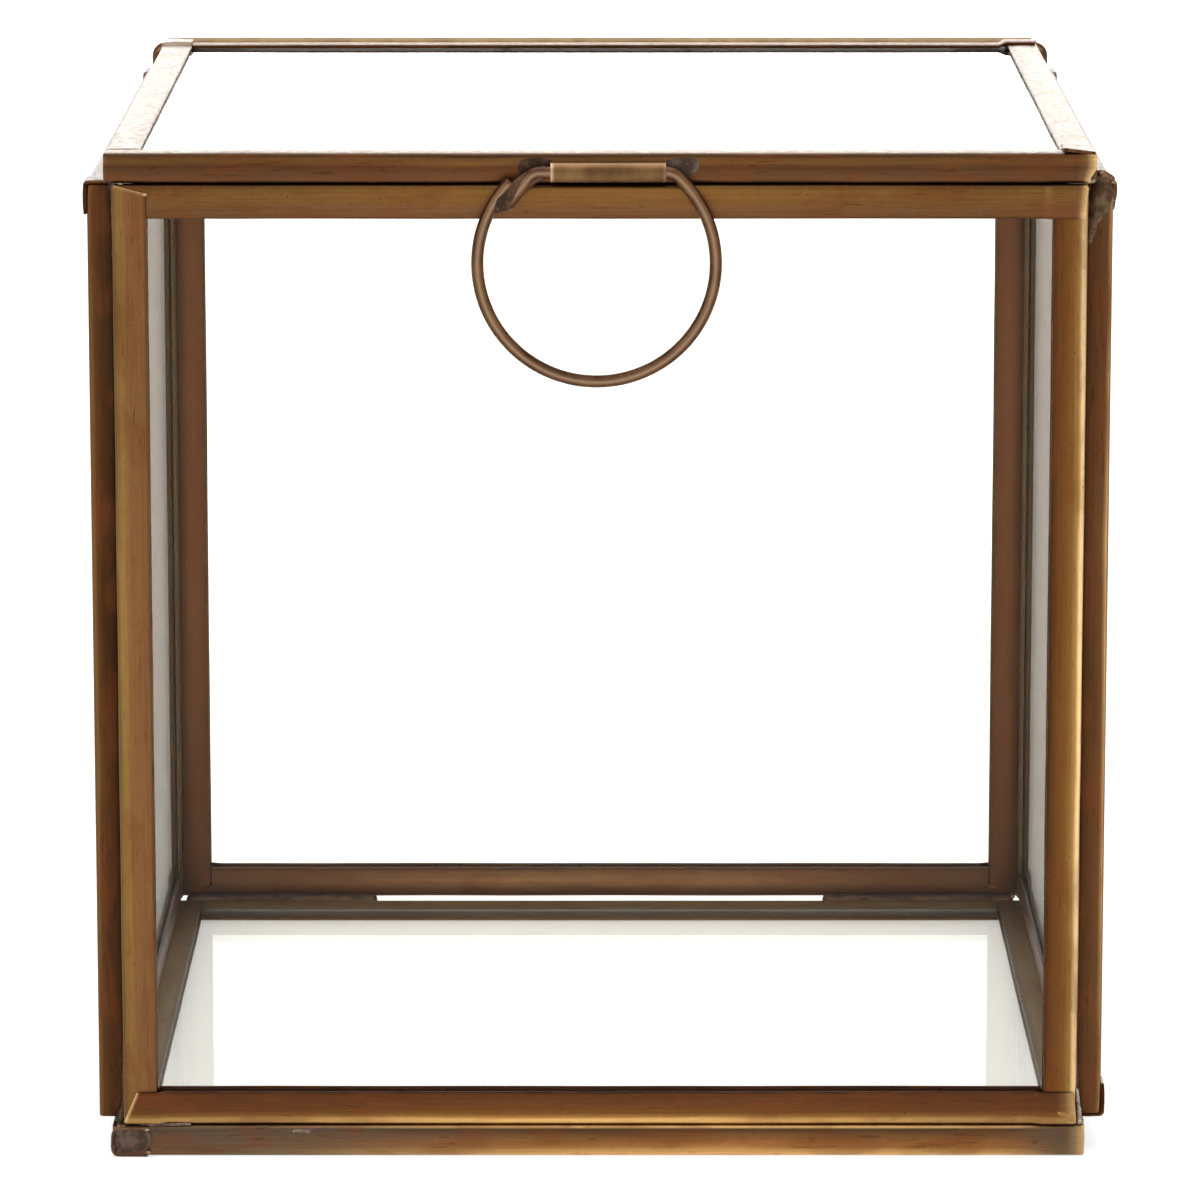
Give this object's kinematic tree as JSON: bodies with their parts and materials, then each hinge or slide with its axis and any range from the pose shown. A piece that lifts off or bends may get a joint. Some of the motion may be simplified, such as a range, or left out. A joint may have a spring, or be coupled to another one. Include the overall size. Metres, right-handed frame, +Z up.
{
  "type": "glass box",
  "caption": "Clear glass show box in brass channel frames, with a back-hinged lid and a wire ring pull.",
  "frame": {"origin": "centre of the footprint, on the surface that the box stands on", "axes": "+Z up, the front with the ring pull faces -Y, +X to the right seen from the front"},
  "size_m": [0.121, 0.1234, 0.1211],
  "materials": {
    "brass_channel_lit": "aged, satin, with brown oxide",
    "brass_channel_shaded": "aged, satin, darker brown oxide",
    "brass_wire": "aged drawn wire",
    "tarnished_solder": "tarnished tin solder",
    "clear_glass": "clear float glass"
  },
  "bodies": {
    "box": {"front_glass": "clear_glass", "front_top_rail": "brass_channel_lit", "front_bottom_rail": "brass_channel_lit", "front_left_stile": "brass_channel_lit", "front_right_stile": "brass_channel_lit", "back_glass": "clear_glass", "back_top_rail": "brass_channel_shaded", "back_bottom_rail": "brass_channel_shaded", "back_left_stile": "brass_channel_shaded", "back_right_stile": "brass_channel_shaded", "left_glass": "clear_glass", "left_top_rail": "brass_channel_shaded", "left_bottom_rail": "brass_channel_shaded", "left_front_stile": "brass_channel_shaded", "left_back_stile": "brass_channel_shaded", "right_glass": "clear_glass", "right_top_rail": "brass_channel_shaded", "right_bottom_rail": "brass_channel_shaded", "right_front_stile": "brass_channel_shaded", "right_back_stile": "brass_channel_shaded", "base_glass": "clear_glass", "base_front_channel": "brass_channel_shaded", "base_back_channel": "brass_channel_shaded", "base_left_channel": "brass_channel_shaded", "base_right_channel": "brass_channel_shaded", "solder_front_left_low": "tarnished_solder", "solder_front_left_high": "tarnished_solder", "solder_front_right_low": "tarnished_solder", "solder_front_right_high": "tarnished_solder", "solder_back_left_low": "tarnished_solder", "solder_back_left_high": "tarnished_solder", "solder_back_right_low": "tarnished_solder", "solder_back_right_high": "tarnished_solder", "solder_right_top_bead": "tarnished_solder", "hinge_rod": "brass_wire"},
    "lid": {"lid_glass": "clear_glass", "lid_front_channel": "brass_channel_lit", "lid_back_channel": "brass_channel_lit", "lid_left_channel": "brass_channel_lit", "lid_right_channel": "brass_channel_lit", "hinge_tube": "brass_channel_shaded", "pull_sleeve": "brass_channel_lit", "pull_solder_left": "tarnished_solder", "pull_solder_right": "tarnished_solder"},
    "pull_ring": {"pull_ring": "brass_wire"}
  },
  "joints": [
    {"name": "lid_hinge", "type": "hinge", "parent": "box", "child": "lid", "pos_m": [0, 0.05767, 0.11986], "axis": [-1, 0, 0], "range_deg": [0, 200]},
    {"name": "ring_swing", "type": "hinge", "parent": "lid", "child": "pull_ring", "pos_m": [0, -0.06053, 0.11865], "axis": [-1, 0, 0], "range_deg": [-2, 190]}
  ]
}
